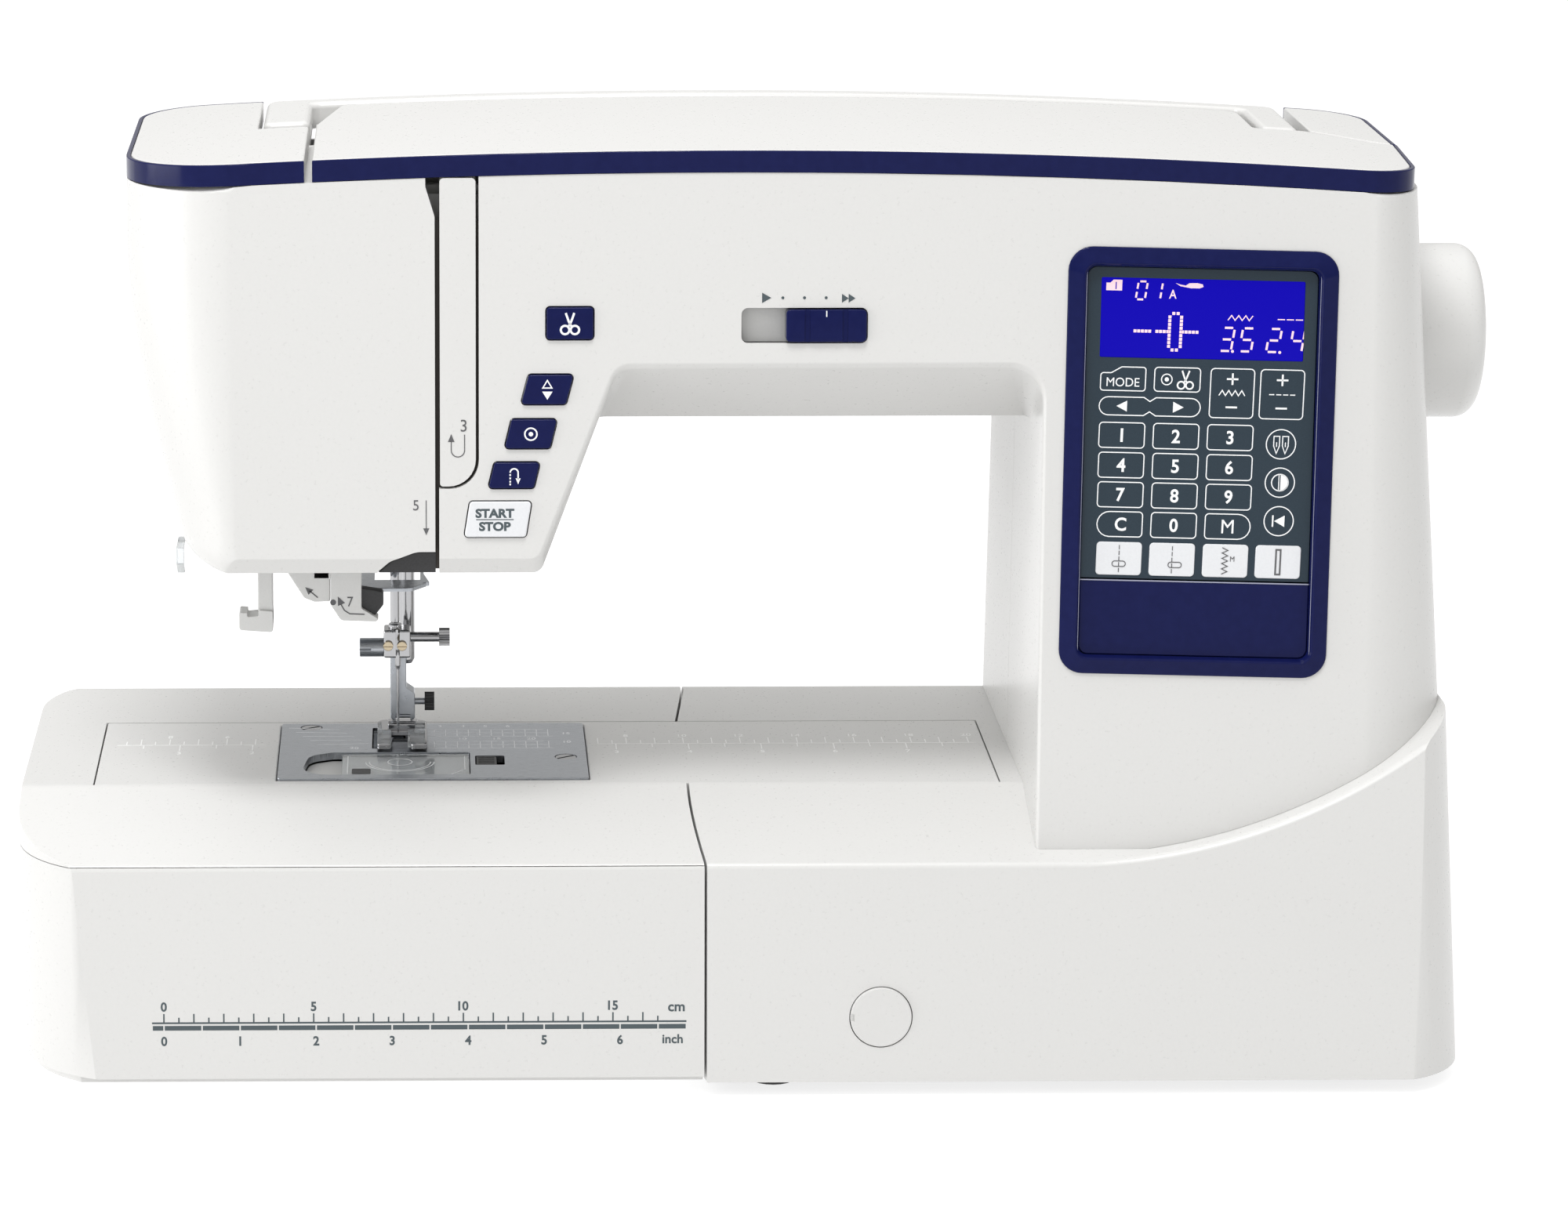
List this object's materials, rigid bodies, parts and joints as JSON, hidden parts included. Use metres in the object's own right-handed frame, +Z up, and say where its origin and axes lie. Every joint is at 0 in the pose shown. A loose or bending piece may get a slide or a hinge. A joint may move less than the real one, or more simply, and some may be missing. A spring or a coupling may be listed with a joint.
{
  "type": "sewing machine",
  "caption": "Computerised free-arm sewing machine with extension table, control panel, handwheel, hinged top lid and needle mechanism.",
  "frame": {"origin": "centre of the bounding box on the plane the rubber feet stand on", "axes": "+X along the arm towards the handwheel, +Y away from the user, +Z up"},
  "size_m": [0.4995, 0.2, 0.3158],
  "materials": {
    "white_plastic": "satin white moulded plastic",
    "navy_plastic": "glossy dark blue plastic",
    "slate_overlay": "printed flexible overlay",
    "display_blue": "back-lit liquid crystal display",
    "dark_plastic": "matte black plastic",
    "brushed_steel": "brushed",
    "chrome": "polished",
    "cast_aluminium": "die cast",
    "clear_plastic": "transparent plastic",
    "rubber": "matte",
    "circuit_board": "solder mask"
  },
  "bodies": {
    "machine": {"frame_casting": "cast_aluminium", "bottom_plate": "dark_plastic", "base_cover": "white_plastic", "front_cover": "white_plastic", "rear_cover": "white_plastic", "face_cover": "white_plastic", "thread_channel_cover": "white_plastic", "top_left_cover": "white_plastic", "left_band": "navy_plastic", "top_right_cover": "white_plastic", "top_tray": "white_plastic", "spool_pin": "white_plastic", "panel_frame": "navy_plastic", "display": "display_blue", "keypad_overlay": "slate_overlay", "free_arm_cover": "white_plastic", "needle_plate": "brushed_steel", "knee_lifter_cap": "white_plastic", "power_and_pedal_sockets": "dark_plastic", "foot_front_left": "rubber", "foot_front_right": "rubber", "foot_rear_left": "rubber", "foot_rear_right": "rubber", "main_motor": "dark_plastic", "control_board": "circuit_board", "timing_belt": "rubber", "thread_guide_plate": "chrome", "bobbin_holder": "dark_plastic"},
    "wheel": {"handwheel": "white_plastic", "main_shaft": "brushed_steel"},
    "lower_shaft": {"lower_shaft": "brushed_steel"},
    "hook": {"rotary_hook": "brushed_steel"},
    "needle_swing": {"needle_bar_frame": "cast_aluminium"},
    "needle_bar": {"needle_bar": "chrome", "needle_clamp": "chrome", "needle": "chrome"},
    "take_up": {"take_up_lever": "chrome"},
    "presser_bar": {"presser_bar": "chrome", "foot_holder": "chrome"},
    "presser_foot": {"presser_foot": "chrome"},
    "lifter": {"presser_foot_lifter": "white_plastic"},
    "threader": {"needle_threader": "white_plastic"},
    "feed_bar": {"feed_bar": "brushed_steel"},
    "feed_dog": {"feed_dog": "brushed_steel"},
    "bobbin": {"bobbin": "clear_plastic"},
    "bobbin_cover": {"bobbin_cover": "clear_plastic"},
    "cover_release": {"cover_release_button": "dark_plastic"},
    "thread_cutter_button": {"thread_cutter_button": "navy_plastic"},
    "needle_position_button": {"needle_position_button": "navy_plastic"},
    "lock_stitch_button": {"lock_stitch_button": "navy_plastic"},
    "reverse_button": {"reverse_button": "navy_plastic"},
    "start_stop_button": {"start_stop_button": "white_plastic"},
    "speed_slider": {"speed_slider": "navy_plastic"},
    "power_switch": {"power_switch": "dark_plastic"},
    "winder": {"bobbin_winder_spindle": "white_plastic"},
    "lid": {"top_lid": "white_plastic", "lid_band": "navy_plastic"},
    "handle": {"carry_handle": "white_plastic"},
    "table": {"extension_table": "white_plastic"},
    "storage_lid": {"storage_lid": "white_plastic"}
  },
  "joints": [
    {"name": "handwheel_turn", "type": "hinge", "parent": "machine", "child": "wheel", "pos_m": [0, 0.01, 0.24], "axis": [1, 0, 0], "continuous": true},
    {"name": "lower_shaft_turn", "type": "hinge", "parent": "machine", "child": "lower_shaft", "pos_m": [0, 0.009, 0.058], "axis": [1, 0, 0], "continuous": true},
    {"name": "hook_turn", "type": "hinge", "parent": "machine", "child": "hook", "pos_m": [-0.121, -0.017, 0.066], "axis": [0, 0, 1], "continuous": true},
    {"name": "needle_swing", "type": "hinge", "parent": "machine", "child": "needle_swing", "pos_m": [-0.1226, 0.005, 0.29], "axis": [0, 1, 0], "range_deg": [-1.2, 1.2]},
    {"name": "needle_stroke", "type": "slide", "parent": "needle_swing", "child": "needle_bar", "axis": [0, 0, 1], "range_m": [-0.024, 0.006]},
    {"name": "take_up_swing", "type": "hinge", "parent": "machine", "child": "take_up", "pos_m": [-0.11, -0.009, 0.235], "axis": [1, 0, 0], "range_deg": [-10.5, 40.5]},
    {"name": "lifter_lift", "type": "hinge", "parent": "machine", "child": "lifter", "pos_m": [-0.104, 0.056, 0.2075], "axis": [1, 0, 0], "range_deg": [0, 35]},
    {"name": "presser_lift", "type": "slide", "parent": "machine", "child": "presser_bar", "axis": [0, 0, 1], "range_m": [0, 0.0081]},
    {"name": "foot_tilt", "type": "hinge", "parent": "presser_bar", "child": "presser_foot", "pos_m": [-0.1203, 0.014, 0.0994], "axis": [1, 0, 0], "range_deg": [-2.5, 2.5]},
    {"name": "threader_pull", "type": "slide", "parent": "machine", "child": "threader", "axis": [0, 0, -1], "range_m": [0, 0.025], "stiffness_N_per_m": 100, "springref_m": -0.003},
    {"name": "feed_lift", "type": "slide", "parent": "machine", "child": "feed_bar", "axis": [0, 0, 1], "range_m": [-0.0025, 0]},
    {"name": "feed_travel", "type": "slide", "parent": "feed_bar", "child": "feed_dog", "axis": [0, 1, 0], "range_m": [-0.002, 0.002]},
    {"name": "bobbin_turn", "type": "hinge", "parent": "machine", "child": "bobbin", "pos_m": [-0.121, -0.017, 0.0702], "axis": [0, 0, 1], "continuous": true},
    {"name": "bobbin_cover_lift", "type": "slide", "parent": "machine", "child": "bobbin_cover", "axis": [0, 0, 1], "range_m": [0, 0.03]},
    {"name": "cover_release_slide", "type": "slide", "parent": "machine", "child": "cover_release", "axis": [1, 0, 0], "range_m": [0, 0.0024], "stiffness_N_per_m": 300},
    {"name": "thread_cutter_press", "type": "slide", "parent": "machine", "child": "thread_cutter_button", "axis": [0, 0.9976, -0.0698], "range_m": [0, 0.0012], "stiffness_N_per_m": 500},
    {"name": "needle_position_press", "type": "slide", "parent": "machine", "child": "needle_position_button", "axis": [0, 0.9976, -0.0698], "range_m": [0, 0.0012], "stiffness_N_per_m": 500},
    {"name": "lock_stitch_press", "type": "slide", "parent": "machine", "child": "lock_stitch_button", "axis": [0, 0.9976, -0.0698], "range_m": [0, 0.0012], "stiffness_N_per_m": 500},
    {"name": "reverse_press", "type": "slide", "parent": "machine", "child": "reverse_button", "axis": [0, 0.9976, -0.0698], "range_m": [0, 0.0012], "stiffness_N_per_m": 500},
    {"name": "start_stop_press", "type": "slide", "parent": "machine", "child": "start_stop_button", "axis": [0, 0.9976, -0.0698], "range_m": [0, 0.0012], "stiffness_N_per_m": 500},
    {"name": "speed_slide", "type": "slide", "parent": "machine", "child": "speed_slider", "axis": [-1, 0, 0], "range_m": [0, 0.014]},
    {"name": "power_rock", "type": "hinge", "parent": "machine", "child": "power_switch", "pos_m": [0.2267, 0.004, 0.034], "axis": [0, 1, 0], "range_deg": [-4, 4]},
    {"name": "winder_engage", "type": "slide", "parent": "machine", "child": "winder", "axis": [1, 0, 0], "range_m": [0, 0.004]},
    {"name": "lid_open", "type": "hinge", "parent": "machine", "child": "lid", "pos_m": [0, 0.0515, 0.3135], "axis": [-1, 0, 0], "range_deg": [0, 80]},
    {"name": "handle_swing", "type": "hinge", "parent": "machine", "child": "handle", "pos_m": [0, 0.017, 0.3055], "axis": [1, 0, 0], "range_deg": [0, 90]},
    {"name": "table_slide", "type": "slide", "parent": "machine", "child": "table", "axis": [-1, 0, 0], "range_m": [0, 0.25]},
    {"name": "storage_lid_pull", "type": "slide", "parent": "table", "child": "storage_lid", "axis": [0, -1, 0], "range_m": [0, 0.06]}
  ],
  "couplings": [
    {"joint": "lower_shaft_turn", "follows": "handwheel_turn", "ratio": 1},
    {"joint": "hook_turn", "follows": "handwheel_turn", "ratio": 2},
    {"joint": "take_up_swing", "follows": "needle_stroke", "rad_per_m": -29},
    {"joint": "lifter_lift", "follows": "presser_lift", "rad_per_m": 75.4}
  ]
}
